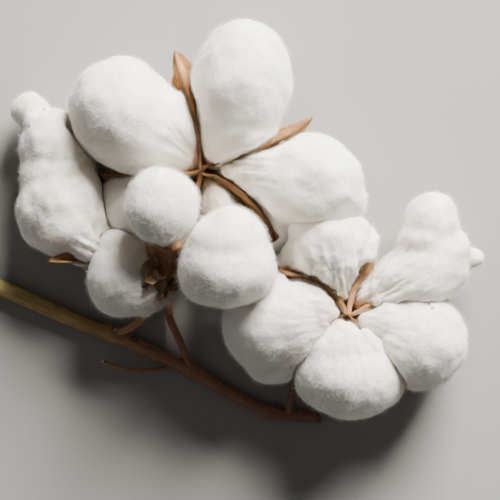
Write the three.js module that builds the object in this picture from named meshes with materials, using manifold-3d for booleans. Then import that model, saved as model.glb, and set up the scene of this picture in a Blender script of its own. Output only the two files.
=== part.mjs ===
// A cut branch of a cotton plant that carries three open bolls, lying down with the bolls' mouths up.
// A boll is a woody burr of five pointed valves on a stalk, three dried bracts below it, and four or
// five locks of lint that swell out between the valves.
// Millimetres, +Z up. The branch lies on the plane z = 0, and the origin is under the middle of it all.
import * as THREE from "three";
import { mergeVertices } from "three/addons/utils/BufferGeometryUtils.js";
import Module from "manifold-3d";

const wasm = await Module();
wasm.setup();

// Clearance between neighbouring pieces and between lint and its own burr, and the place of the layout's
// zero point in the part's frame
const gap = 0.4;
const ownGap = 0.55;
const layoutAt = [6.55, -8.95, 0];

// Fineness: the size of a lobe of lint for each split of its faces, sides of a stem, steps along a valve
// and along a bract
const lobePerDetail = 13;
const stemSides = 8;
const stemStep = 4;
const valveSteps = 5;
const bractSteps = 3;

const finishes = {
  lint: { color: 0xf1eee8, roughness: 1.0 },
  burr: { color: 0x7a5233, roughness: 0.8 },
  bract: { color: 0x8d6a45, roughness: 0.9 },
  stem: { color: 0x6a4226, roughness: 0.75 },
};

// Stems, thickest first: the line each one follows, its diameter at both ends, and its knots as
// [share of the length, extra radius]. A stem stops clear of the ones before it.
const stems = {
  branch: {
    line: [
      [-93.5, -10.6, 2.9], [-76.5, -18.1, 2.8], [-65.4, -23, 2.8], [-54.2, -27.6, 2.8], [-47.8, -29.7, 2.8],
      [-31.8, -37.1, 2.7], [-20.5, -42.1, 2.6], [-9.4, -48.8, 2.5], [1.8, -54.6, 2.4], [10.7, -57.6, 2.3],
      [25, -58.9, 2.2],
    ],
    diameters: [5.6, 3.8],
    knots: [[0.385, 0.7], [0.62, 0.8], [0.86, 0.7]],
  },
  twig_a: {
    line: [
      [-20.5, -41.5, 4.2], [-24.5, -32, 6], [-28.5, -22, 5.5], [-28.5, -12, 3.6], [-25.5, 0, 3.2],
      [-19, 14, 3.4], [-16, 24, 4.4], [-15.5, 27.5, 7.6],
    ],
    diameters: [2.6, 2.8],
    knots: [[0.3, 0.3]],
  },
  stalk_b: {
    line: [[13.5, -57.5, 3.4], [14.5, -50.5, 5.4], [18, -43, 5], [24, -33.5, 4.2], [31.5, -24.5, 4.6], [33, -22.5, 6.6]],
    diameters: [2.6, 3.2],
    knots: [],
  },
  stalk_c: {
    line: [[-47.5, -29, 4.2], [-43, -27.8, 8.5], [-38.5, -25, 11.5], [-33.5, -20.5, 13.4], [-30.9, -16, 14.2], [-29.9, -12.2, 14.8]],
    diameters: [2.6, 3.2],
    knots: [[0.55, 0.2]],
  },
  spur: {
    line: [[-25.5, -39.2, 3.2], [-29.5, -41.4, 3.2], [-38, -42.3, 3], [-46, -41, 3.4], [-52, -38.7, 4.6]],
    diameters: [1.7, 1.1],
    knots: [[0.82, 0.35]],
  },
};

// The cup that a burr's valves grow from, as [radius, height] up its outside and in over its mouth:
// shallow where the boll is seen into, deep where it is seen from its side
const shallowCup = [[0, -0.2], [3.4, 0.2], [4.6, 2.2], [3.8, 4.2], [0, 4.6]];
const deepCup = [[0, -0.2], [2.8, 0.2], [3.9, 3], [5.3, 8.5], [6.9, 14], [7.6, 17.5], [6.7, 18], [0, 17]];

// The three bolls. at is the foot of the burr, axis the way that its mouth faces. A valve has the heading
// that it leaves the middle at, the angle that it swings through, its reach, how far its tip lifts, the
// length that shows between the locks, if any does, and how much of it lies bare to the left and right
// of its partition. Headings are in degrees round the axis. wingDrop is how far lint is kept clear under
// a valve. A bract has its heading, its reach and the angle that it folds up through.
const bolls = {
  a: {
    at: [-15.5, 27.5, 8.4],
    axis: [0, 0, 1],
    cup: shallowCup,
    crest: 17.5,
    wing: 6.4,
    wingDrop: 40,
    bracts: [[30, 15, 18], [150, 15, 18], [270, 15, 18]],
    valves: [
      { heading: 92, swing: 12, reach: 42, lift: 9, shown: 40, bare: [2.8, 0.9] },
      { heading: 12, swing: 14, reach: 41, lift: 8, shown: 38, bare: [1.6, 1.2] },
      { heading: -14, swing: -32, reach: 35, lift: 8, shown: 35, bare: [1, 5.2] },
      { heading: -108, swing: -6, reach: 30, lift: 6, shown: 10, bare: [0.9, 0.9] },
      { heading: 192, swing: -10, reach: 36, lift: 8, shown: 11, bare: [0.9, 0.9] },
    ],
  },
  b: {
    at: [33, -22.5, 7.4],
    axis: [0, 0, 1],
    cup: shallowCup,
    crest: 18.5,
    wing: 6,
    wingDrop: 40,
    bracts: [[30, 14, 14], [150, 14, 14], [270, 14, 14]],
    valves: [
      { heading: 111, swing: 36, reach: 28, lift: 9, shown: 27, bare: [3, 0.9] },
      { heading: 88, swing: -24, reach: 24, lift: 7, shown: 23, bare: [0.9, 2.4] },
      { heading: 16, swing: 12, reach: 28, lift: 6, shown: 14, bare: [1, 0.9] },
      { heading: -38, swing: -16, reach: 30, lift: 7, shown: 6, bare: [0.9, 0.9] },
      { heading: 188, swing: 44, reach: 29, lift: 7, shown: 10, bare: [0.9, 0.9] },
    ],
  },
  c: {
    at: [-29.6, -11, 15.6],
    axis: [0.08, 0.85, 0.52],
    cup: deepCup,
    crest: 7,
    wing: 5.2,
    wingDrop: 1,
    bracts: [[-25, 9, 38], [95, 9, 38], [246, 18, 66]],
    valves: [
      { heading: -12, swing: 6, reach: 10, lift: 17 },
      { heading: 78, swing: 8, reach: 20, lift: 12 },
      { heading: 148, swing: 38, reach: 40, lift: 6 },
    ],
  },
};

// The locks of lint, from the one nearest the eye to the lowest. Each is one or more swollen lobes,
// placed from the middle of its boll in plan: [x, y], height of the middle, [length, width, depth],
// the way its long side points, and how much wider it is at its far end.
const locks = {
  c_top: [
    { from: [0.2, 25.8], height: 39, size: [26, 25.5, 26], points: 0, swell: 0 },
    { from: [0.5, 20.5], height: 31, size: [17, 14, 16], points: 90, swell: 0.3 },
  ],
  c_right: [
    { from: [21.7, 7.3], height: 36, size: [33, 33, 35], points: 95, swell: -0.22 },
    { from: [23.2, 15.2], height: 37, size: [22, 21, 30], points: 110, swell: 0 },
  ],
  a_right: [
    { from: [32.5, -4], height: 23, size: [45, 33, 36], points: -8, swell: 0.14 },
    { from: [42, -9], height: 22, size: [27, 28, 30], points: 0, swell: 0 },
    { from: [14.5, -1.5], height: 20, size: [27, 18, 24], points: 0, swell: 0.3 },
    { from: [22, -16], height: 15, size: [26, 22, 22], points: -60, swell: 0 },
  ],
  a_left: [
    { from: [-24.5, 16.7], height: 21, size: [47, 36.5, 44], points: 144, swell: 0.16 },
    { from: [-27, 27.5], height: 20, size: [24, 24, 30], points: 110, swell: 0 },
    { from: [-14.5, 15], height: 21, size: [26, 26, 34], points: 130, swell: 0 },
    { from: [-7, 7.5], height: 16, size: [17, 13, 20], points: 130, swell: 0.2 },
  ],
  a_up: [
    { from: [12.5, 27.8], height: 22, size: [47, 34.5, 46], points: 84, swell: 0.08 },
    { from: [11, 13.5], height: 21, size: [26, 28, 36], points: 60, swell: 0.1 },
    { from: [5, 6.5], height: 16, size: [16, 11, 20], points: 52, swell: 0.3 },
  ],
  b_low: [
    { from: [1.5, -20], height: 19, size: [31, 38.5, 40], points: -90, swell: 0.05 },
    { from: [1, -11], height: 20, size: [22, 33, 32], points: -90, swell: 0.15 },
  ],
  b_low_right: [
    { from: [24, -8.5], height: 18, size: [36, 34.5, 38], points: -12, swell: 0.03 },
    { from: [12, -2.5], height: 19, size: [22, 20, 28], points: -5, swell: 0.2 },
  ],
  b_low_left: [
    { from: [-22.5, -1.5], height: 18, size: [42, 35, 38], points: 206, swell: 0.06 },
    { from: [-12, 2.5], height: 19, size: [23, 22, 30], points: 150, swell: 0 },
    { from: [-24, -12.5], height: 15, size: [24, 22, 28], points: 230, swell: 0 },
  ],
  b_up_right: [
    { from: [24, 12.5], height: 17, size: [40, 26, 32], points: 33, swell: 0.15 },
    { from: [29.5, 31], height: 18, size: [22, 20.5, 26], points: 80, swell: -0.1 },
    { from: [28.5, 25.5], height: 18, size: [20, 19, 27], points: 60, swell: 0 },
    { from: [32, 20], height: 16, size: [26, 22, 30], points: 60, swell: 0 },
    { from: [10, 6.5], height: 18, size: [20, 13, 20], points: 34, swell: 0.3 },
    { from: [43.5, 20], height: 14, size: [8, 10, 9], points: 90, swell: 0 },
  ],
  b_up: [
    { from: [-5.5, 21.5], height: 20, size: [34, 30, 35], points: 100, swell: 0.1 },
    { from: [3.5, 24], height: 18, size: [18, 16, 24], points: 90, swell: 0 },
    { from: [-1.5, 9], height: 18, size: [20, 14, 20], points: 94, swell: 0.4 },
    { from: [-16, 23], height: 15, size: [20, 17, 24], points: 60, swell: 0 },
  ],
  a_low: [{ from: [10.5, -13.5], height: 16, size: [30, 25, 26], points: -58, swell: 0.15 }],
  a_low_left: [
    { from: [-20, -10.5], height: 14, size: [32, 25, 26], points: 207, swell: 0.15 },
    { from: [-27.5, -9], height: 13, size: [18, 20, 24], points: 180, swell: 0 },
  ],
  c_low_left: [
    { from: [-14.3, 1.8], height: 17, size: [28, 26, 33], points: 100, swell: -0.06 },
    { from: [-15.3, 11.8], height: 18, size: [15, 16, 20], points: 90, swell: 0 },
    { from: [-7.5, 9], height: 20, size: [14, 11, 12], points: 150, swell: 0.1 },
  ],
  c_left: [
    { from: [-35.2, 26.3], height: 16, size: [38, 31.5, 34], points: 95, swell: -0.05 },
    { from: [-37, 46.3], height: 15, size: [29, 26, 30], points: 105, swell: 0 },
    { from: [-46.2, 59], height: 12, size: [15, 13.5, 18], points: 20, swell: 0 },
    { from: [-30, 17], height: 15, size: [24, 18, 26], points: 120, swell: 0 },
    { from: [-17.5, 13], height: 14, size: [38, 13, 13], points: 152, swell: 0.1 },
  ],
};

const radians = THREE.MathUtils.degToRad;

// Solids from geometry, and geometry from solids
function solidOf(geometry, nearness = 1e-4) {
  const bare = new THREE.BufferGeometry();
  bare.setAttribute("position", geometry.getAttribute("position"));
  bare.setIndex(geometry.index);
  const merged = mergeVertices(bare, nearness);
  return new wasm.Manifold(
    new wasm.Mesh({
      numProp: 3,
      vertProperties: new Float32Array(merged.getAttribute("position").array),
      triVerts: new Uint32Array(merged.index.array),
    }),
  );
}

function geometryOf(body) {
  const cut = body.getMesh();
  const geometry = new THREE.BufferGeometry();
  geometry.setAttribute("position", new THREE.BufferAttribute(cut.vertProperties, cut.numProp));
  geometry.setIndex(new THREE.BufferAttribute(cut.triVerts, 1));
  return geometry;
}

// What is left of a cut piece: its largest body, merged a few times so that no sliver hangs on to it.
function tidied(body) {
  const rounds = 3;
  const largest = (bodies) => bodies.reduce((best, next) => (next.volume() > best.volume() ? next : best));
  let rest = largest(body.decompose());
  for (let i = 0; i < rounds; i++) {
    rest = largest(solidOf(geometryOf(rest.simplify(0.04)), 1e-3).decompose());
  }
  return rest;
}

function meshOf(name, body, finish) {
  const mesh = new THREE.Mesh(geometryOf(body), new THREE.MeshStandardMaterial({ ...finish, flatShading: true }));
  mesh.name = name;
  return mesh;
}

// A closed skin over rings of equally many points, each seen from a hub point that sees its whole ring.
// Rings run anticlockwise when the skin comes towards the eye.
function loft(rings, hub = 0) {
  const count = rings[0].length;
  const faces = [];
  for (let i = 0; i + 1 < rings.length; i++) {
    for (let j = 0; j < count; j++) {
      const here = i * count + j;
      const next = i * count + ((j + 1) % count);
      faces.push(here, next, next + count, here, next + count, here + count);
    }
  }
  const last = (rings.length - 1) * count;
  for (let k = 1; k + 1 < count; k++) {
    const a = (hub + k) % count;
    const b = (hub + k + 1) % count;
    faces.push(hub, b, a, last + hub, last + a, last + b);
  }
  const geometry = new THREE.BufferGeometry().setFromPoints(rings.flat());
  geometry.setIndex(faces);
  return solidOf(geometry);
}

// A frame at each point of a line: forward along it, up as near as it can be to the wish, and side.
function framesAlong(points, wish) {
  return points.map((at, i) => {
    const before = points[Math.max(i - 1, 0)];
    const after = points[Math.min(i + 1, points.length - 1)];
    const forward = after.clone().sub(before).normalize();
    const side = wish.clone().cross(forward).normalize();
    const up = forward.clone().cross(side);
    return { at, forward, side, up };
  });
}

function ringPoint(frame, across, above) {
  return frame.at.clone().addScaledVector(frame.side, across).addScaledVector(frame.up, above);
}

// A round tapering stem with knots, thicker all over by grow.
function stem({ line, diameters, knots }, grow = 0) {
  const route = new THREE.CatmullRomCurve3(line.map((p) => new THREE.Vector3(...p)));
  const steps = Math.ceil(route.getLength() / stemStep);
  const frames = framesAlong(route.getSpacedPoints(steps), new THREE.Vector3(0.02, 0.03, 1));
  const rings = frames.map((frame, i) => {
    const share = i / steps;
    const knotWidth = 0.02;
    const swelling = knots.reduce((sum, [at, extra]) => sum + extra * Math.exp(-(((share - at) / knotWidth) ** 2)), 0);
    const radius = THREE.MathUtils.lerp(diameters[0], diameters[1], share) / 2 + swelling + grow;
    return Array.from({ length: stemSides }, (_, k) => {
      const angle = (2 * Math.PI * k) / stemSides;
      return ringPoint(frame, radius * Math.cos(angle), radius * Math.sin(angle));
    });
  });
  return loft(rings);
}

// The frame of a boll: across and along lie over the part's X and Y as nearly as its axis lets them.
function bollFrame({ at, axis }) {
  const up = new THREE.Vector3(...axis).normalize();
  const along = up.clone().cross(new THREE.Vector3(1, 0, 0)).normalize();
  const across = along.clone().cross(up);
  const foot = new THREE.Vector3(...at);
  return (x, y, z) => foot.clone().addScaledVector(across, x).addScaledVector(along, y).addScaledVector(up, z);
}

// The frames along the middle of a valve, and the height of its partition there.
function valveFrames(boll, { heading, swing, reach, lift }, grow) {
  const place = bollFrame(boll);
  const footHeight = 1.6;
  const upward = place(0, 0, 1).sub(place(0, 0, 0));
  const shares = Array.from({ length: valveSteps + 1 }, (_, i) => i / valveSteps);
  const spine = shares.map((s) => {
    const angle = radians(heading + swing * s);
    const out = (reach + 2 * grow) * s - grow;
    return place(out * Math.cos(angle), out * Math.sin(angle), footHeight + lift * s ** 1.6);
  });
  return framesAlong(spine, upward).map((frame, i) => {
    const s = shares[i];
    return { ...frame, s, crest: boll.crest * (1 - s) ** 0.58 + 0.5 + grow };
  });
}

// One valve of a burr: a boat-shaped wing with pointed ends, and a thin partition that stands along its
// middle, tall at the heart of the boll and gone at the tip. drop thickens it downwards.
function valve(boll, one, grow, drop) {
  const wall = 0.6 + grow;
  const rings = valveFrames(boll, one, grow).map((frame) => {
    const wing = boll.wing * Math.sin(Math.PI * (0.12 + 0.88 * frame.s)) ** 0.8 + 0.4 + grow;
    const curl = 0.22 * wing;
    const outline = [
      [0, -wall - drop], [wing, curl - wall - drop], [wing, curl + wall], [wall, wall], [wall * 0.8, frame.crest],
      [-wall * 0.8, frame.crest], [-wall, wall], [-wing, curl + wall], [-wing, curl - wall - drop],
    ];
    return outline.map(([across, above]) => ringPoint(frame, across, above));
  });
  return loft(rings);
}

// The open cleft over the part of a valve that shows, which keeps the locks from closing over it.
function cleft(boll, one) {
  const height = 26;
  const flare = 3.2;
  const shownSteps = Math.max(2, Math.round((valveSteps * one.shown) / one.reach));
  const rings = valveFrames(boll, one, gap).slice(0, shownSteps + 1).map((frame, i) => {
    const open = flare * (1 - (0.6 * i) / shownSteps);
    const [left, right] = one.bare.map((side) => Math.min(side, 0.9 + 8 * frame.s));
    const outline = [[left, 0.5], [left + open, frame.crest + height], [-right - open, frame.crest + height], [-right, 0.5]];
    return outline.map(([across, above]) => ringPoint(frame, across, above));
  });
  return loft(rings);
}

// A solid turned round a boll's axis, from its [radius, height] profile, eight-sided or finer.
function turned(boll, profile, sides = 8) {
  const place = bollFrame(boll);
  const round = new THREE.LatheGeometry(profile.map((p) => new THREE.Vector2(...p)), sides).rotateX(Math.PI / 2);
  const position = round.getAttribute("position");
  for (let i = 0; i < position.count; i++) {
    const p = place(position.getX(i), position.getY(i), position.getZ(i));
    position.setXYZ(i, p.x, p.y, p.z);
  }
  return solidOf(round);
}

// A burr: its valves on their cup.
function burr(boll, grow = 0, drop = 0) {
  const profile = boll.cup.map(([radius, height], i) => [radius ? radius + grow : 0, height + (i < 2 ? -grow : grow)]);
  return boll.valves.reduce((sum, one) => sum.add(valve(boll, one, grow, drop)), turned(boll, profile, 10));
}

// The dried calyx under a burr: a ring round the head of the stalk and three shrivelled bracts on it.
function calyx(boll, grow = 0) {
  const place = bollFrame(boll);
  const bractWidth = 4.6;
  const bractWall = 0.35 + grow;
  const outline = [[0, -2.2 - grow], [3.1 + grow, -2 - grow], [3.9 + grow, -0.7], [3.4 + grow, 0.4 + grow], [0, 0.4 + grow]];
  const upward = place(0, 0, 1).sub(place(0, 0, 0));
  let body = turned(boll, outline);
  for (const [heading, reach, bend] of boll.bracts) {
    const angle = radians(heading);
    const shares = Array.from({ length: bractSteps + 1 }, (_, i) => i / bractSteps);
    const spine = shares.map((s) => {
      const fold = radians(bend) * s;
      const out = 2.2 + (reach + grow) * s * Math.cos(fold);
      return place(out * Math.cos(angle), out * Math.sin(angle), -1 + reach * s * Math.sin(fold));
    });
    const rings = framesAlong(spine, upward).map((frame, i) => {
      const half = bractWidth * Math.sin(Math.PI * (0.2 + 0.74 * shares[i])) + 0.2 + grow;
      const wave = 0.8 * Math.sin(5 * shares[i]);
      const section = [
        [0, -bractWall], [half, wave - bractWall], [half, wave + bractWall],
        [0, bractWall], [-half, bractWall - wave], [-half, -bractWall - wave],
      ];
      return section.map(([across, above]) => ringPoint(frame, across, above));
    });
    body = body.add(loft(rings));
  }
  return body;
}

// One lobe of lint: a ball drawn out along its heading, fuller at its far end.
function lobe(middle, { from, height, size, points, swell }, grow) {
  const detail = Math.max(1, Math.floor(Math.max(...size) / lobePerDetail));
  const ball = new THREE.IcosahedronGeometry(1, detail);
  const position = ball.getAttribute("position");
  const turn = radians(points);
  const [length, width, depth] = size.map((side) => side / 2 + grow);
  for (let i = 0; i < position.count; i++) {
    const end = position.getX(i);
    const fuller = 1 + swell * end;
    const along = end * length;
    const across = position.getY(i) * width * fuller;
    position.setXYZ(
      i,
      middle[0] + from[0] + along * Math.cos(turn) - across * Math.sin(turn),
      middle[1] + from[1] + along * Math.sin(turn) + across * Math.cos(turn),
      height + position.getZ(i) * depth * fuller,
    );
  }
  return solidOf(ball);
}

function lock(name, grow = 0) {
  const middle = bolls[name[0]].at;
  const lobes = locks[name].map((one) => lobe(middle, one, grow));
  return lobes.reduce((sum, one) => sum.add(one));
}

// Build in order of hardness: stems, burrs, calyxes, then lint from the front to the back. Each piece is
// cut clear of those before it and of the ground.
const part = new THREE.Group();
const ground = solidOf(new THREE.BoxGeometry(400, 400, 60).translate(0, 0, -30));
const kept = [];

function add(name, body, finish, grown, clearOf = kept) {
  const cut = clearOf.reduce((rest, other) => rest.subtract(other.grown), body);
  part.add(meshOf(name, tidied(cut.subtract(ground).translate(layoutAt)), finish));
  kept.push({ name, grown });
}

for (const [name, form] of Object.entries(stems)) {
  add(name, stem(form), finishes.stem, stem(form, gap));
}
for (const [name, boll] of Object.entries(bolls)) {
  add(`burr_${name}`, burr(boll), finishes.burr, burr(boll, gap));
}
for (const [name, boll] of Object.entries(bolls)) {
  add(`calyx_${name}`, calyx(boll), finishes.bract, calyx(boll, gap));
}
for (const name of Object.keys(locks)) {
  const own = bolls[name[0]];
  const others = kept.filter((other) => other.name !== `burr_${name[0]}`);
  const hollow = own.valves.filter((one) => one.shown).reduce((sum, one) => sum.add(cleft(own, one)), burr(own, ownGap, own.wingDrop));
  add(`lock_${name}`, lock(name), finishes.lint, lock(name, gap), [{ grown: hollow }, ...others]);
}

export default part;
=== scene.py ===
"""A cut branch of cotton with three open bolls, seen from above: wood, dried burrs and fluffy lint."""
import math

import bmesh
import bpy
import numpy as np
from mathutils import Matrix, Vector


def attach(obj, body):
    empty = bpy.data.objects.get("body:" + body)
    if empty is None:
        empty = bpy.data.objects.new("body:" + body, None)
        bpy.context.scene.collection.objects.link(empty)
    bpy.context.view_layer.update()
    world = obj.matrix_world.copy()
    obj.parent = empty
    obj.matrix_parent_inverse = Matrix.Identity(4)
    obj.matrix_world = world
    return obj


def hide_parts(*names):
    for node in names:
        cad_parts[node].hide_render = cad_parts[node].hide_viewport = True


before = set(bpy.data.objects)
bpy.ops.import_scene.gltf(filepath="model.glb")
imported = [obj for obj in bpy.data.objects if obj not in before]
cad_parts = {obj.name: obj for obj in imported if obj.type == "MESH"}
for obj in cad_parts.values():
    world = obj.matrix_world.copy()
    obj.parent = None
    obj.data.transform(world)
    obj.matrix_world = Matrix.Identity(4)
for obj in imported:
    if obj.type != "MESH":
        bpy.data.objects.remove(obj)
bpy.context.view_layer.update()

# Branch, twig, stalks and spur.
# Woody stems with thin ridged bark, swollen at the knots where leaves and bolls grew. Each is a round
# stem drawn along its line, thinner towards its tip, and the stalks grow out of the branch.
mm = 0.001
# Sizes and places are in millimetres, from the middle of the layout, which lies here in the part.
layout_at = np.array([6.55, -8.95, 0.0])
stem_step = 0.6
stem_sides = 28
# A knot is its place along the stem, from 0 to 1, and how far it stands out. Its length is a share too.
knot_length = 0.02
stems = {
    "branch": dict(
        line=[(-93.5, -10.6, 2.9), (-76.5, -18.1, 2.8), (-65.4, -23, 2.8), (-54.2, -27.6, 2.8),
              (-47.8, -29.7, 2.8), (-31.8, -37.1, 2.7), (-20.5, -42.1, 2.6), (-9.4, -48.8, 2.5),
              (1.8, -54.6, 2.4), (10.7, -57.6, 2.3), (25, -58.9, 2.2)],
        diameters=(5.6, 3.8), knots=[(0.385, 0.7), (0.62, 0.8), (0.86, 0.7)], ridge=0.34),
    "twig_a": dict(
        line=[(-20.5, -41.5, 4.2), (-24.5, -32, 6), (-28.5, -22, 5.5), (-28.5, -12, 3.6),
              (-25.5, 0, 3.2), (-19, 14, 3.4), (-16, 24, 4.4), (-15.5, 27.5, 7.6)],
        diameters=(2.6, 2.8), knots=[(0.3, 0.3)], ridge=0.22),
    "stalk_b": dict(
        line=[(13.5, -57.5, 3.4), (14.5, -50.5, 5.4), (18, -43, 5), (24, -33.5, 4.2),
              (31.5, -24.5, 4.6), (33, -22.5, 6.6)],
        diameters=(2.6, 3.2), knots=[], ridge=0.22),
    "stalk_c": dict(
        line=[(-47.5, -29, 4.2), (-43, -27.8, 8.5), (-38.5, -25, 11.5), (-33.5, -20.5, 13.4),
              (-30.9, -16, 14.2), (-29.9, -12.2, 14.8)],
        diameters=(2.6, 3.2), knots=[(0.55, 0.2)], ridge=0.22),
    "spur": dict(
        line=[(-25.5, -39.2, 3.2), (-29.5, -41.4, 3.2), (-38, -42.3, 3), (-46, -41, 3.4),
              (-52, -38.7, 4.6)],
        diameters=(1.7, 1.1), knots=[(0.82, 0.35)], ridge=0.12),
}


class Socket:
    """An output in a node tree. A sum, difference, product or quotient adds a Math node."""

    def __init__(self, tree, output):
        self.tree, self.output = tree, output

    def sibling(self, name):
        return Socket(self.tree, self.output.node.outputs[name])

    def __add__(self, other):
        return self.tree.math("ADD", self, other)

    def __sub__(self, other):
        return self.tree.math("SUBTRACT", self, other)

    def __rsub__(self, other):
        return self.tree.math("SUBTRACT", other, self)

    def __mul__(self, other):
        return self.tree.math("MULTIPLY", self, other)

    def __truediv__(self, other):
        return self.tree.math("DIVIDE", self, other)

    __radd__, __rmul__ = __add__, __mul__


class Tree:
    """A node tree that is written as Python: add() makes any node and gives back one of its outputs."""

    def __init__(self, tree):
        self.tree = tree
        tree.nodes.clear()

    def add(self, kind, settings=None, sockets=None, out=0):
        made = self.tree.nodes.new(kind)
        for key, value in (settings or {}).items():
            if key == "stops":
                stops = made.color_ramp.elements
                for _ in value[2:]:
                    stops.new(0.5)
                for stop, (position, colour) in zip(stops, value):
                    stop.position, stop.color = position, (*colour, 1)
            else:
                setattr(made, key, value)
        for key, value in (sockets or {}).items():
            if isinstance(value, Socket):
                self.tree.links.new(value.output, made.inputs[key])
            else:
                made.inputs[key].default_value = value
        return Socket(self, made.outputs[out]) if made.outputs else None

    def math(self, operation, *operands):
        return self.add("ShaderNodeMath", dict(operation=operation), dict(enumerate(operands)))

    def vector(self, operation, *operands, out=0):
        return self.add("ShaderNodeVectorMath", dict(operation=operation), dict(enumerate(operands)), out)

    def scaled(self, vector, factor):
        return self.add("ShaderNodeVectorMath", dict(operation="SCALE"), {0: vector, "Scale": factor})

    def xyz(self, *parts):
        return self.add("ShaderNodeCombineXYZ", None, dict(enumerate(parts)))

    def noise(self, vector, scale, detail=3.0, roughness=0.55):
        sockets = {"Vector": vector, "Scale": scale, "Detail": detail, "Roughness": roughness}
        return self.add("ShaderNodeTexNoise", None, sockets)


class Finish(Tree):
    """A material, with the mixes and bumps that it is made of."""

    def __init__(self, name):
        self.material = bpy.data.materials.new(name)
        self.material.use_nodes = True
        super().__init__(self.material.node_tree)

    def attribute(self, name, out="Fac"):
        return self.add("ShaderNodeAttribute", dict(attribute_name=name), out=out)

    def place(self):
        return self.add("ShaderNodeTexCoord", out="Object")

    def ramp(self, value, stops):
        return self.add("ShaderNodeValToRGB", dict(stops=stops), {0: value})

    def between(self, value, low, high):
        span = dict(interpolation_type="SMOOTHSTEP")
        return self.add("ShaderNodeMapRange", span, {"Value": value, "From Min": low, "From Max": high})

    def mix(self, share, under, over):
        colours = {key: value if isinstance(value, Socket) else (*value, 1)
                   for key, value in ((6, under), (7, over))}
        return self.add("ShaderNodeMix", dict(data_type="RGBA"), {0: share, **colours}, 2)

    def bump(self, height, distance):
        return self.add("ShaderNodeBump", None, {"Height": height, "Distance": distance})

    def shade(self, **sockets):
        named = {key.replace("_", " "): value for key, value in sockets.items()}
        self.add("ShaderNodeOutputMaterial", None, {0: self.add("ShaderNodeBsdfPrincipled", None, named)})
        return self.material


class Growth(Tree):
    """A geometry node tree with named inputs, and the mesh that it makes of an object."""

    def __init__(self, name, inputs):
        super().__init__(bpy.data.node_groups.new(name, "GeometryNodeTree"))
        face = self.tree.interface
        face.new_socket("Geometry", in_out="INPUT", socket_type="NodeSocketGeometry")
        face.new_socket("Geometry", in_out="OUTPUT", socket_type="NodeSocketGeometry")
        for title, kind in inputs.items():
            face.new_socket(title, in_out="INPUT", socket_type="NodeSocket" + kind)
        self.entry = self.tree.nodes.new("NodeGroupInput")

    def given(self, title):
        return Socket(self, self.entry.outputs[title])

    def stored(self, geometry, name, value, kind="FLOAT"):
        settings = dict(data_type=kind, domain="POINT")
        sockets = {0: geometry, "Name": name, "Value": value}
        return self.add("GeometryNodeStoreNamedAttribute", settings, sockets)

    def attribute(self, name, kind="FLOAT"):
        return self.add("GeometryNodeInputNamedAttribute", dict(data_type=kind), {"Name": name})

    def join(self, *pieces):
        made = self.tree.nodes.new("GeometryNodeJoinGeometry")
        for piece in pieces:
            self.tree.links.new(piece.output, made.inputs[0])
        return Socket(self, made.outputs[0])

    def close(self, geometry, material):
        whole = self.add("GeometryNodeRealizeInstances", None, {0: geometry})
        finished = self.add("GeometryNodeSetMaterial", None, {0: whole, "Material": material})
        self.add("NodeGroupOutput", None, {0: finished})

    def grown(self, source, name, values):
        grow = source.modifiers.new("growth", "NODES")
        grow.node_group = self.tree
        for item in self.tree.interface.items_tree:
            if item.in_out == "INPUT" and item.name in values:
                grow[item.identifier] = values[item.name]
        return plain_copy(source, name)


def placed(name, data):
    """A new object in the scene, at the origin."""
    made = bpy.data.objects.new(name, data)
    bpy.context.scene.collection.objects.link(made)
    return made


def plain_copy(source, name):
    """The evaluated mesh of an object, with its modifiers done, as a new object. The source goes."""
    graph = bpy.context.evaluated_depsgraph_get()
    mesh = bpy.data.meshes.new_from_object(source.evaluated_get(graph))
    mesh.name = name
    made = placed(name, mesh)
    bpy.data.objects.remove(source)
    return made


def dressed(piece, slot, *nodes):
    """Shades a finished piece smoothly, and lets it ride on the branch in place of its solids."""
    piece.data.shade_smooth()
    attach(piece, "root")
    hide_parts(*nodes)


def smooth_line(points, step):
    """Points about a step apart along a smooth line through the given ones."""
    points = np.array(points, float)
    ends = np.vstack([2 * points[0] - points[1], points, 2 * points[-1] - points[-2]])
    t = np.linspace(0, 1, 40, endpoint=False)[:, None]
    line = []
    for before, start, end, after in zip(ends, ends[1:], ends[2:], ends[3:]):
        slope = end - before
        bend = 2 * before - 5 * start + 4 * end - after
        twist = 3 * start - before - 3 * end + after
        line.append(0.5 * (2 * start + slope * t + bend * t**2 + twist * t**3))
    line = np.vstack([*line, points[-1:]])
    run = np.concatenate([[0], np.cumsum(np.linalg.norm(np.diff(line, axis=0), axis=1))])
    even = np.linspace(0, run[-1], int(run[-1] / step) + 1)
    return np.stack([np.interp(even, run, line[:, axis]) for axis in range(3)], axis=1)


# Where a leaf or boll has dropped off, and the cut ends: place, size and colour.
scars = [
    ((-46.2, -27.9, 5.2), 1.7, (0.6, 0.42, 0.33)),
    ((-40, -30.6, 5.0), 1.3, (0.5, 0.36, 0.22)),
    ((-93.5, -10.6, 2.9), 2.7, (0.62, 0.5, 0.3)),
    ((25, -58.9, 2.2), 1.9, (0.5, 0.28, 0.17)),
    ((-52, -38.7, 4.6), 1.2, (0.6, 0.5, 0.4)),
]


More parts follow.
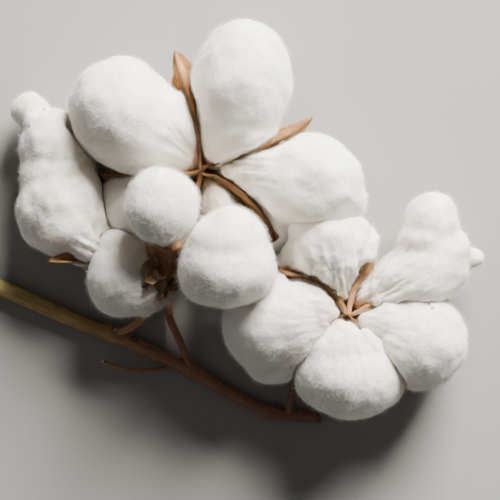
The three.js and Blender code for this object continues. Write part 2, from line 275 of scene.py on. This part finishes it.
def bark():
    """Olive at the cut end and reddish brown at the tip, with streaks, blotches, pale specks and scars."""
    olive, ochre = (0.5, 0.37, 0.1), (0.44, 0.24, 0.08)
    russet, maroon = (0.36, 0.15, 0.065), (0.22, 0.085, 0.05)
    furrow, stain, pale = (0.24, 0.12, 0.06), (0.08, 0.035, 0.02), (0.38, 0.26, 0.16)
    healed_rim = (0.09, 0.03, 0.02)
    finish = Finish("bark")
    place, along, turn = finish.place(), finish.attribute("along"), finish.attribute("turn", "Vector")
    grain = finish.vector("ADD", finish.vector("MULTIPLY", turn, (1, 1, 0)), finish.xyz(0, 0, along * 60))
    streak = finish.noise(grain, 3.2, 4)
    blotch = finish.noise(place, 120, 4)
    short_grain = finish.vector("ADD", grain, finish.xyz(0, 0, along * 500))
    speck = finish.between(finish.noise(short_grain, 2.4, 1), 0.62, 0.7)
    east = finish.add("ShaderNodeSeparateXYZ", None, {0: place})
    tone = finish.ramp(finish.between(east + (blotch - 0.5) * 0.05, -0.095, 0.03), [
        (0.0, olive), (0.38, ochre), (0.55, russet), (1.0, maroon)])
    tone = finish.mix(finish.between(streak, 0.35, 0.7) * 0.7, tone, furrow)
    tone = finish.mix(finish.between(blotch, 0.55, 0.75) * 0.6, tone, stain)
    tone = finish.mix(speck * 0.6, tone, pale)
    for spot, size, colour in scars:
        middle = tuple((np.array(spot) + layout_at) * mm)
        away = finish.vector("DISTANCE", place, middle, out="Value") + (blotch - 0.5) * 0.0012
        tone = finish.mix(finish.between(away, size * 1.5 * mm, size * 1.1 * mm) * 0.6, tone, healed_rim)
        tone = finish.mix(finish.between(away, size * mm, 0.7 * size * mm), tone, colour)
    height = streak * 0.7 + blotch * 0.3 + speck * 0.4
    return finish.shade(Base_Color=tone, Roughness=0.45 + blotch * 0.35, Normal=finish.bump(height, 0.0004))


def stem_growth(material):
    """A round stem along a line, as thick as the line's radius, with ridges that run along it."""
    tree = Growth("stem", {"Sides": "Int", "Ridge": "Float"})
    run = tree.add("GeometryNodeSplineParameter", out="Length")
    angle = tree.add("GeometryNodeSplineParameter", out="Factor") * (2 * math.pi)
    turn = tree.xyz(tree.math("COSINE", angle), tree.math("SINE", angle))
    ring = tree.add("GeometryNodeCurvePrimitiveCircle", None, {
        "Resolution": tree.given("Sides"), "Radius": 1.0})
    ring = tree.stored(ring, "turn", turn, "FLOAT_VECTOR")
    line = tree.stored(tree.given("Geometry"), "along", run)
    radius = tree.add("GeometryNodeInputRadius")
    tube = tree.add("GeometryNodeCurveToMesh", None, {0: line, 1: ring, "Scale": radius, "Fill Caps": True})
    lengthways = tree.xyz(0, 0, tree.attribute("along") * 45)
    grain = tree.vector("ADD", tree.attribute("turn", "FLOAT_VECTOR"), lengthways)
    swelling = (tree.noise(grain, 2.1, 2) - 0.5) * tree.given("Ridge")
    offset = tree.scaled(tree.add("GeometryNodeInputNormal"), swelling)
    tree.close(tree.add("GeometryNodeSetPosition", None, {0: tube, "Offset": offset}), material)
    return tree


stem_tree = stem_growth(bark())
for stem_name, form in stems.items():
    route = (smooth_line(form["line"], stem_step) + layout_at) * mm
    shares = np.linspace(0, 1, len(route))
    radii = np.interp(shares, (0, 1), form["diameters"]) / 2
    for at, extra in form["knots"]:
        radii += extra * np.exp(-((shares - at) / knot_length) ** 2)
    curve = bpy.data.curves.new(stem_name, "CURVE")
    curve.dimensions = "3D"
    spline = curve.splines.new("POLY")
    spline.points.add(len(route) - 1)
    spline.points.foreach_set("co", np.column_stack([route, np.ones(len(route))]).ravel())
    spline.points.foreach_set("radius", radii * mm)
    values = {"Sides": stem_sides, "Ridge": form["ridge"] * mm * 2}
    stem = stem_tree.grown(placed(stem_name + "_line", curve), stem_name + "_wood", values)
    dressed(stem, "bark", stem_name)

# Burrs.
# The dried wall of each boll, split into thin boat-shaped valves that curl back like petals, brown
# outside and tan inside. Along each stands the papery partition that kept two locks apart.
shallow_cup = [(0.3, -0.2), (2.8, 0), (4.3, 1.3), (4.6, 2.4), (3.8, 4.1), (0.3, 4.5)]
deep_cup = [(0.3, -0.2), (2.2, -0.1), (2.9, 0.8), (3.9, 3), (4.7, 6.2), (5.5, 9.5), (6.8, 14),
            (7.5, 17.4), (6.6, 17.9), (0.3, 17)]
# A valve is its heading and swing in degrees, its reach and lift, how far its partition tilts, the
# half width of its wing, and how fast its partition comes down towards the point.
bolls = {
    "a": dict(at=(-15.5, 27.5, 8.4), axis=(0, 0, 1), cup=shallow_cup, crest=17.5, valves=[
        (92, 12, 42, 9, 1.4, 7.6, 0.58),
        (12, 14, 41, 8, 0.9, 4.2, 0.58),
        (-14, -32, 35, 8, -1.8, 6.4, 0.58),
        (-108, -6, 30, 6, -0.3, 6.4, 0.58),
        (192, -10, 36, 8, 0.3, 6.4, 0.58)]),
    "b": dict(at=(33, -22.5, 7.4), axis=(0, 0, 1), cup=shallow_cup, crest=18.5, valves=[
        (111, 36, 28, 15, 1, 6, 0.32),
        (88, -24, 24, 7, -0.9, 6, 0.58),
        (16, 12, 28, 8, 0.4, 6, 0.4),
        (-38, -16, 30, 7, 0.3, 6, 0.58),
        (188, 44, 29, 7, -0.3, 6, 0.58)]),
    "c": dict(at=(-29.6, -11, 15.6), axis=(0.08, 0.85, 0.52), cup=deep_cup, crest=7, valves=[
        (-12, 6, 10, 17, 0.3, 5.2, 0.58),
        (78, 8, 20, 12, 0.3, 5.2, 0.58),
        (148, 38, 40, 6, 0.3, 5.2, 0.58)]),
}
half_wall = 0.6
foot_height = 1.6
valve_steps = 56
cup_sides = 60
cup_step = 0.35
# The points of a valve's section: out along its wing, and up its partition.
wing_shares = np.linspace(0, 1, 9)
fin_shares = np.linspace(0.12, 1, 7)


def around(boll, out, angle, height):
    """Points at a distance, an angle and a height round a boll's own axis, and the way that it faces."""
    up = np.array(boll["axis"], float)
    up /= np.linalg.norm(up)
    along = np.cross(up, (1, 0, 0))
    along /= np.linalg.norm(along)
    across = np.cross(along, up)
    foot = np.array(boll["at"], float) + layout_at
    points = (foot + (out * np.cos(angle))[..., None] * across + (out * np.sin(angle))[..., None] * along
              + height[..., None] * up)
    return points, up


def skin(rings):
    """Vertices and faces of a closed skin over rings of equally many points."""
    count = rings.shape[1]
    faces = []
    for i in range(len(rings) - 1):
        for j in range(count):
            here, after = i * count + j, i * count + (j + 1) % count
            faces.append((here, after, after + count, here + count))
    last = (len(rings) - 1) * count
    faces.append(tuple(range(count - 1, -1, -1)))
    faces.append(tuple(range(last, last + count)))
    return rings.reshape(-1, 3), faces


def ripple(values, seed, period):
    """A smooth wavering number for each value, between about -1 and 1."""
    rng = np.random.default_rng(seed)
    parts = [np.sin(values * 2 * math.pi / (period * size) + rng.uniform(0, 7)) for size in (1, 0.62, 0.37)]
    return (parts[0] + 0.6 * parts[1] + 0.4 * parts[2]) / 2


def along_spine(spine, up, sections):
    """Flat sections, each set square on its point of a spine, with up as their second direction."""
    forward = np.gradient(spine, axis=0)
    forward /= np.linalg.norm(forward, axis=1)[:, None]
    side = np.cross(np.broadcast_to(up, forward.shape), forward)
    side /= np.linalg.norm(side, axis=1)[:, None]
    above = np.cross(forward, side)
    return spine[:, None] + sections[..., :1] * side[:, None] + sections[..., 1:] * above[:, None]


def valve_section(halves, rolls, lean, crest, lip):
    """One section of a valve: its wing with both edges rolled up, and the partition with its open lip."""
    thick = np.column_stack([0 * wing_shares, half_wall * (1 - 0.62 * wing_shares**2)])
    right, left = [np.column_stack([side * half * wing_shares, roll * half * wing_shares**2.2])
                   for side, half, roll in zip((1, -1), halves, rolls)]
    lean *= min(1, crest / 6)
    spread = 0.42 - 0.2 * fin_shares + lip * fin_shares**6 * min(1, crest / 4)
    shift = lean * fin_shares**1.5
    height = half_wall + (crest - half_wall) * fin_shares
    fin_right = np.column_stack([shift + spread, height])
    fin_left = np.column_stack([shift - spread, height])[::-1]
    groove = [(lean, half_wall + (crest - half_wall) * 0.9 - 0.2)]
    return np.vstack([right - thick, (right + thick)[:0:-1], fin_right, groove, fin_left,
                      (left + thick)[1:], (left - thick)[:0:-1]])


def section_marks(below, above, fin, groove):
    """A number for each point of a valve's section, below and above its wing and on its partition."""
    return np.concatenate([below, above[:0:-1], fin, [groove], fin[::-1], above[1:], below[:0:-1]])


def valve_rings(boll, form, seed):
    """Rings round a valve from its foot to its point, and marks that its colours follow."""
    heading, swing, reach, lift, tilt, wing, fade = form
    s = np.linspace(0, 1, valve_steps)
    out = reach * s
    spine, up = around(boll, out, np.radians(heading + swing * s), foot_height + lift * s**1.6)
    half = wing * np.sin(np.pi * (0.12 + 0.88 * s)) ** 0.8 + 0.35
    halves = [half * (1 + 0.12 * ripple(out, seed + turn, 9)) for turn in (0, 1)]
    rolls = [0.26 + 0.1 * ripple(out, seed + 5 + turn, 12) for turn in (0, 1)]
    lean = tilt + 0.4 * ripple(out, seed + 9, 16)
    crest = boll["crest"] * (1 - s) ** fade + 0.5
    lip = 0.16 + 0.75 * np.sin(np.pi * np.clip(s * 1.1, 0, 1)) ** 2
    sections = np.array([valve_section(*numbers) for numbers in
                         zip(zip(*halves), zip(*rolls), lean, crest, lip)])
    nothing, all_over = 0 * wing_shares, 0 * wing_shares + 1
    marks = dict(rim=section_marks(wing_shares, wing_shares, 0 * fin_shares, 0),
                 inside=section_marks(nothing, all_over, 0 * fin_shares + 1, 1),
                 fin=section_marks(nothing, nothing, fin_shares, 0.6))
    shape = np.ones(sections.shape[:2])
    marks = {key: shape * row for key, row in marks.items()}
    return along_spine(spine, up, sections), dict(marks, along=shape * s[:, None])


def turned_rings(boll, profile, ribs, depth):
    """Rings of a form turned round a boll's axis from its (radius, height) profile, with ribs along it."""
    line = smooth_line([(radius, 0, height) for radius, height in profile], cup_step)
    turn = np.linspace(0, 2 * math.pi, cup_sides, endpoint=False)
    out = line[:, :1] * (1 + depth * np.cos(ribs * turn) + 0.4 * depth * np.cos(3 * ribs * turn + 1))
    points, _ = around(boll, out, turn, line[:, 2:] + 0 * turn)
    return points, turn + 0 * out


def cup_rings(boll):
    """The cup that the valves join in. Its rim mark is its angle, so that its fibres run up it."""
    points, turn = turned_rings(boll, boll["cup"], 5, 0.05)
    return points, dict(rim=turn, inside=0 * turn, fin=0 * turn, along=0 * turn)


def joined(name, parts, material):
    """One mesh of several closed skins, each given as its rings and its named marks."""
    vertices, faces, marks = [], [], {}
    for points, own_marks in parts:
        skin_vertices, skin_faces = skin(points)
        start = sum(len(v) for v in vertices)
        vertices.append(skin_vertices)
        faces += [tuple(start + i for i in face) for face in skin_faces]
        for key, values in own_marks.items():
            marks.setdefault(key, []).append(values.ravel())
    mesh = bpy.data.meshes.new(name)
    mesh.from_pydata((np.vstack(vertices) * mm).tolist(), [], faces)
    mesh.materials.append(material)
    for key, values in marks.items():
        mesh.attributes.new(key, "FLOAT", "POINT").data.foreach_set("value", np.concatenate(values))
    return placed(name, mesh)


def husk():
    """Dry woody tissue with fibres along it, darker on its partitions, edges and points."""
    partition, dark_fibre, pale_fibre = (0.47, 0.21, 0.07), (0.24, 0.08, 0.028), (0.7, 0.46, 0.24)
    crest, edge, point = (0.2, 0.075, 0.028), (0.3, 0.12, 0.045), (0.26, 0.1, 0.035)
    finish = Finish("husk")
    place, rim, inside = finish.place(), finish.attribute("rim"), finish.attribute("inside")
    fin, along = finish.attribute("fin"), finish.attribute("along")
    blotch = finish.noise(place, 160, 5, 0.6)
    fibre = finish.noise(finish.xyz(rim * 9, along * 2.4, fin * 6), 3, 4)
    tan = finish.ramp(blotch, [
        (0.3, (0.5, 0.25, 0.08)), (0.5, (0.66, 0.39, 0.15)), (0.72, (0.78, 0.53, 0.27))])
    brown = finish.ramp(blotch, [
        (0.3, (0.18, 0.07, 0.028)), (0.5, (0.42, 0.2, 0.08)), (0.7, (0.62, 0.38, 0.18))])
    on_wing_edge = finish.between(rim, 0.86, 1.0) * finish.between(1.5 - rim, 0, 0.5)
    tone = finish.mix(inside, brown, tan)
    tone = finish.mix(finish.between(fin, 0.1, 0.6) * 0.7, tone, partition)
    tone = finish.mix(finish.between(fibre, 0.44, 0.62) * 0.7, tone, dark_fibre)
    tone = finish.mix(finish.between(fibre, 0.44, 0.3) * 0.5, tone, pale_fibre)
    tone = finish.mix(finish.between(fin, 0.86, 1.0) * 0.75, tone, crest)
    tone = finish.mix(on_wing_edge * 0.7, tone, edge)
    tone = finish.mix(finish.between(along, 0.8, 1.0) * 0.55, tone, point)
    height = fibre * 0.6 + blotch * 0.5
    return finish.shade(Base_Color=tone, Roughness=0.5 + blotch * 0.35, Normal=finish.bump(height, 0.0005))


husk_finish = husk()
for index, (letter, boll) in enumerate(bolls.items()):
    parts = [cup_rings(boll)]
    for k, form in enumerate(boll["valves"]):
        parts.append(valve_rings(boll, form, 40 * index + 7 * k))
    dressed(joined(f"burr_{letter}_husk", parts, husk_finish), "burr", f"burr_{letter}")

# Calyxes and bracts.
# Under each burr lies its calyx, a shallow ring round the head of the stalk, with three leafy bracts on
# it. Their edges are toothed, and they have dried and shrivelled to brown paper.
calyx_profile = [(0.3, -2.2), (3.1, -2), (3.9, -0.7), (3.4, 0.4), (0.3, 0.4)]
bract_foot = dict(out=2.2, up=-1)
bract_half_width = 4.6
bract_half_thickness = 0.16
bract_teeth = 9
bract_steps = 44
# A bract is its heading, its reach, how far it folds up in degrees, and how its blade curls.
bracts = {
    "a": [(30, 15, 18, 0.16), (150, 15, 18, 0.16), (270, 15, 18, 0.16)],
    "b": [(30, 14, 14, 0.16), (150, 14, 14, 0.16), (270, 14, 14, 0.16)],
    "c": [(-25, 9, 38, 0.16), (95, 9, 38, 0.16), (246, 18, 66, -0.4)],
}


def calyx_rings(boll):
    points, turn = turned_rings(boll, calyx_profile, 5, 0.06)
    return points, dict(rim=0 * turn, along=0 * turn)


def bract_rings(boll, heading, reach, fold, curl, seed):
    """Rings round a bract from the calyx to its tip, and marks that its colours follow."""
    s = np.linspace(0, 1, bract_steps)
    bend = np.radians(fold) * s
    angle = np.radians(heading) + 0.12 * ripple(s * reach, seed, 12)
    out = bract_foot["out"] + reach * s * np.cos(bend)
    height = bract_foot["up"] + reach * s * np.sin(bend) + 0.5 * ripple(s * reach, seed + 1, 8) * s
    spine, up = around(boll, out, angle, height)
    teeth = 1 + 0.3 * s * np.abs((s * bract_teeth) % 1 - 0.5)
    half = ((bract_half_width * np.sin(np.pi * (0.2 + 0.76 * s**1.5)) + 0.1) * teeth)[:, None]
    u = np.linspace(-1, 1, 17)
    wave = 1.1 * ripple(u * half + (3 * s * reach)[:, None], seed + 2, 6) * np.minimum(1, 3 * s)[:, None]
    blade = curl * half * u**2 + wave
    lower = np.stack([half * u, blade - bract_half_thickness], axis=-1)
    upper = np.stack([half * u, blade + bract_half_thickness], axis=-1)[:, ::-1]
    sections = np.concatenate([lower, upper], axis=1)
    rim = np.abs(np.concatenate([u, u[::-1]]))
    shape = np.ones(sections.shape[:2])
    return along_spine(spine, up, sections), dict(rim=shape * rim, along=shape * s[:, None])


def dried_leaf():
    """Brown papery leaf, blotched, with dark veins and a paler edge."""
    dark_vein, pale_edge = (0.09, 0.035, 0.015), (0.38, 0.24, 0.12)
    finish = Finish("dried_leaf")
    rim, along = finish.attribute("rim"), finish.attribute("along")
    blotch = finish.noise(finish.place(), 240, 5, 0.6)
    vein = finish.noise(finish.xyz(rim * 7, along * 3), 3, 3)
    tone = finish.ramp(blotch, [
        (0.3, (0.1, 0.05, 0.025)), (0.5, (0.26, 0.14, 0.06)), (0.7, (0.46, 0.29, 0.15))])
    tone = finish.mix(finish.between(vein, 0.5, 0.7) * 0.5, tone, dark_vein)
    tone = finish.mix(finish.between(rim, 0.7, 1.0) * 0.5, tone, pale_edge)
    roughness = 0.7 + blotch * 0.2
    return finish.shade(Base_Color=tone, Roughness=roughness, Normal=finish.bump(vein + blotch, 0.0004))


leaf_finish = dried_leaf()
for index, (letter, leaves) in enumerate(bracts.items()):
    parts = [calyx_rings(bolls[letter])]
    for k, leaf in enumerate(leaves):
        parts.append(bract_rings(bolls[letter], *leaf, 300 + 30 * index + 7 * k))
    dressed(joined(f"calyx_{letter}_bracts", parts, leaf_finish), "bract", f"calyx_{letter}")

# Locks of lint.
# The fluff of one chamber of the boll: fine white fibres on a row of seeds, swollen out between two
# valves. Each is its soft solid, pushed into lumps and streaks, with loose fibres all over.
locks = [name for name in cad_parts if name.startswith("lock_")]
lint_voxel = 0.55
fibres_per_lock = 5200
fibre_length = 2.1
# How far from the foot of its burr a lock is drawn together and combed into streaks.
drawn_in = {"a": 40, "b": 40, "c": 20}
root_height = 4
# The depth of a lock's lumps and streaks, how far it swells sideways by the burr, and how stained it is.
usual_lint = dict(lump=0.6, streak=0.2, fill=1.1, stain=0.0)
own_lint = {
    "lock_a_left": dict(fill=2.4),
    "lock_a_up": dict(fill=2.4),
    "lock_a_right": dict(lump=1.1, streak=0.5, fill=2.4),
    "lock_b_low_left": dict(fill=1.8),
    "lock_b_up": dict(lump=0.9, streak=0.9, fill=0.7, stain=0.2),
    "lock_b_up_right": dict(lump=0.9, streak=0.8, stain=0.3),
    "lock_c_left": dict(lump=0.95, streak=0.5, stain=0.6, root=(-48, -4, 12), spread=24),
}
# Lint that fills the dips between the lobes of a lock: middles and half sizes.
fillings = {
    "lock_c_left": [((-66.5, 26, 15), (13.5, 11, 15)), ((-72, 43, 13), (8, 7, 11))],
    "lock_c_right": [((-7.5, 1.5, 37), (13.5, 12, 15.8))],
    "lock_c_low_left": [((-37.6, -14.6, 16), (7, 8, 11.5)), ((-34.6, -15.2, 10), (6, 6, 9.5))],
    "lock_b_low_left": [((18, -16.5, 18), (9.5, 7, 13)), ((26, -20, 16), (5, 5, 10))],
    "lock_b_up": [((26, 7, 25), (14, 8, 9))],
    "lock_b_up_right": [((58.6, 2, 17), (8.6, 9, 13.5))],
}
# Bits of dry leaf in the lint, each about a millimetre wide, by their places seen from above.
leaf_bits = [(61.4, -19.6), (60.4, -18.2), (-70.7, 48.2), (-75.2, 42.2)]


def lint():
    """Warm white fluff that light soaks into, with painted shade in the dips of its bumps. It is yellower
    by the burr, partly from real staining and partly as painted warm light bounced off the burr, and
    yellower in its stains.
    """
    painted_shade_white, white = (0.75, 0.7, 0.615), (0.85, 0.81, 0.735)
    stained, tan, leaf_brown = (0.66, 0.52, 0.36), (0.74, 0.6, 0.42), (0.1, 0.05, 0.03)
    finish = Finish("lint")
    place, near = finish.place(), finish.attribute("near")
    puff, down = finish.noise(place, 90, 5, 0.6), finish.noise(place, 900, 4, 0.7)
    # Painted shade: the white is darker where the puff noise, which also sets the bump, is low, so the dips
    # of the bumps look shaded.
    tone = finish.mix(finish.between(puff, 0.3, 0.7), painted_shade_white, white)
    patch = finish.between(finish.noise(place, 110, 6, 0.65), 0.47, 0.62) * finish.attribute("stain")
    tone = finish.mix(patch, tone, stained)
    # Yellower towards the burr's middle: partly real staining, partly painted warm light bounced off the
    # burr into the shaded middle.
    tone = finish.mix(finish.between(near + (puff - 0.5) * 0.5, 0.45, 1.0) * 0.55, tone, tan)
    flat = finish.vector("MULTIPLY", place, (1, 1, 0))
    for spot in leaf_bits:
        middle = tuple((np.array((*spot, 0)) + layout_at) * mm)
        away = finish.vector("DISTANCE", flat, middle, out="Value") + (down - 0.5) * 0.0006
        tone = finish.mix(finish.between(away, 0.6 * mm, 0.4 * mm) * 0.8, tone, leaf_brown)
    normal = finish.bump(puff * 0.5 + down * 0.5, 0.00045)
    return finish.shade(Base_Color=tone, Roughness=1.0, Specular_IOR_Level=0.1, Sheen_Weight=0.2,
                        Sheen_Roughness=0.6, Subsurface_Weight=0.5, Subsurface_Radius=(1.0, 0.75, 0.52),
                        Subsurface_Scale=0.003, Normal=normal)


def lint_growth(material):
    """A lock with lumps, streaks that run from its root, and loose bent fibres on its surface."""
    tree = Growth("lint", {
        "Root": "Vector", "Spread": "Float", "Lump": "Float", "Streak": "Float", "Fill": "Float",
        "Stain": "Float", "Fibres": "Float", "Length": "Float", "Seed": "Int"})
    place, normal = tree.add("GeometryNodeInputPosition"), tree.add("GeometryNodeInputNormal")
    away = tree.vector("SUBTRACT", place, tree.given("Root"))
    distance = tree.vector("LENGTH", away, out="Value")
    heading = tree.vector("NORMALIZE", tree.vector("MULTIPLY", away, (1, 1, 0.3)))
    near = tree.add("ShaderNodeMapRange", dict(interpolation_type="SMOOTHSTEP"), {
        "Value": distance, "From Min": tree.given("Spread") * 0.3, "From Max": tree.given("Spread"),
        "To Min": 1.0, "To Max": 0.0})
    lumpy = (tree.noise(place, 70, 1, 0.5) - 0.5) * 5 + (tree.noise(place, 240, 3, 0.6) - 0.5) * 0.6
    reach = distance / tree.given("Spread")
    combed = near * reach * reach * 8 + 0.1
    streaky = (tree.noise(heading, 6.5, 3, 0.55) - 0.5) * 5 * combed
    outwards = tree.scaled(normal, lumpy * tree.given("Lump") + streaky * tree.given("Streak"))
    level = tree.vector("MULTIPLY", normal, (1, 1, 0.15))
    sideways = tree.scaled(level, near * near * tree.given("Fill"))
    body = tree.add("GeometryNodeSetPosition", None, {
        0: tree.given("Geometry"), "Offset": tree.vector("ADD", outwards, sideways)})
    body = tree.stored(body, "near", near)
    body = tree.stored(body, "stain", tree.given("Stain"))

    seed = tree.given("Seed")
    points = tree.add("GeometryNodeDistributePointsOnFaces", dict(distribute_method="RANDOM"), {
        0: body, "Density": tree.given("Fibres"), "Seed": seed})
    bend = tree.add("GeometryNodeCurvePrimitiveBezierSegment", None, {
        "Resolution": 2, "Start": (0, 0, -0.12), "Start Handle": (0, 0, 0.25),
        "End Handle": (0.3, 0, 0.45), "End": (0.95, 0, 0.2)})
    ring = tree.add("GeometryNodeCurvePrimitiveCircle", None, {"Resolution": 3, "Radius": 0.017})
    taper = 1.15 - tree.add("GeometryNodeSplineParameter", out="Factor")
    thread = tree.add("GeometryNodeCurveToMesh", None, {
        0: bend, 1: ring, "Scale": taper, "Fill Caps": True})
    sway = tree.add("FunctionNodeRandomValue", dict(data_type="FLOAT_VECTOR"), {
        0: (-0.5, -0.5, -math.pi), 1: (0.5, 0.5, math.pi), "Seed": seed})
    turned = tree.add("FunctionNodeRotateRotation", dict(rotation_space="LOCAL"), {
        0: points.sibling("Rotation"), 1: tree.add("FunctionNodeEulerToRotation", None, {0: sway})})
    size = tree.add("FunctionNodeRandomValue", dict(data_type="FLOAT"), {
        2: 0.45, 3: 1.35, "Seed": seed + 1.0}, out=1)
    fibres = tree.add("GeometryNodeInstanceOnPoints", None, {
        0: points, "Instance": thread, "Rotation": turned, "Scale": size * tree.given("Length")})
    fluff = tree.add("GeometryNodeRealizeInstances", None, {0: tree.join(body, fibres)})
    above_ground = tree.vector("MAXIMUM", place, (-1, -1, 0))
    fluff = tree.add("GeometryNodeSetPosition", None, {0: fluff, "Position": above_ground})
    tree.close(fluff, material)
    return tree


def softened(node):
    """A copy of a lock's solid with its fillings, in even small faces, with its creases rounded off."""
    shape = bmesh.new()
    shape.from_mesh(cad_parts[node].data)
    for middle, half_sizes in fillings.get(node, []):
        middle = Vector((np.array(middle) + layout_at) * mm)
        stretch = Matrix.LocRotScale(middle, None, Vector(half_sizes) * mm)
        bmesh.ops.create_icosphere(shape, subdivisions=4, radius=1, matrix=stretch)
    mesh = bpy.data.meshes.new(node + "_soft")
    shape.to_mesh(mesh)
    shape.free()
    made = placed(node + "_soft", mesh)
    made.modifiers.new("weld", "WELD").merge_threshold = 1e-6
    remesh = made.modifiers.new("remesh", "REMESH")
    remesh.mode, remesh.voxel_size = "VOXEL", lint_voxel * mm
    smooth = made.modifiers.new("smooth", "SMOOTH")
    smooth.factor, smooth.iterations = 0.5, 36
    return plain_copy(made, node + "_soft")


lint_tree = lint_growth(lint())
for index, node in enumerate(locks):
    letter = node.split("_")[1]
    root = np.array(bolls[letter]["at"]) + (0, 0, root_height)
    look = {**usual_lint, "root": root, "spread": drawn_in[letter], **own_lint.get(node, {})}
    body = softened(node)
    area = sum(face.area for face in body.data.polygons)
    values = {
        "Root": tuple((look["root"] + layout_at) * mm), "Spread": look["spread"] * mm,
        "Lump": look["lump"] * mm, "Streak": look["streak"] * mm, "Fill": look["fill"] * mm,
        "Stain": look["stain"], "Fibres": fibres_per_lock / area,
        "Length": fibre_length * mm, "Seed": 11 + index}
    dressed(lint_tree.grown(body, node + "_lint", values), "lint", node)

# Floor, lights and camera.
# A plain matt floor, a soft key light from the top right of the picture, and a weak wide fill. The
# camera looks straight down at the bolls' mouths, as the eye does in the photograph.
view_centre = Vector((*layout_at[:2], 25)) * mm
view_width = 170 * mm
view_height = 680 * mm
sensor_width = 36
floor_size = 3
bpy.ops.mesh.primitive_plane_add(size=floor_size, location=(0, 0, -0.2 * mm))
floor = bpy.context.object
floor.name = "floor"
floor.data.materials.append(Finish("floor").shade(Base_Color=(0.3, 0.282, 0.255, 1), Roughness=0.9))
# A lamp is its place from the middle of the view in metres, its size and its power.
lamps = {"key": ((0.36, 0.8, 0.44), 0.55, 70), "fill": ((-0.6, -0.5, 0.8), 1.2, 1.2)}
for title, (offset, size, power) in lamps.items():
    lamp = bpy.data.lights.new(title, "AREA")
    lamp.size, lamp.energy = size, power
    light = placed(title, lamp)
    light.location = view_centre + Vector(offset)
    light.rotation_euler = (-Vector(offset)).to_track_quat("-Z", "Y").to_euler()
world = bpy.data.worlds.new("room")
world.use_nodes = True
sky = world.node_tree.nodes["Background"].inputs
sky["Color"].default_value = (0.78, 0.84, 0.95, 1)
sky["Strength"].default_value = 0.075
bpy.context.scene.world = world
lens = bpy.data.cameras.new("camera")
lens.sensor_width = sensor_width
lens.lens = sensor_width * view_height / view_width
camera = placed("camera", lens)
camera.location = view_centre + Vector((0, 0, view_height))
bpy.context.scene.camera = camera
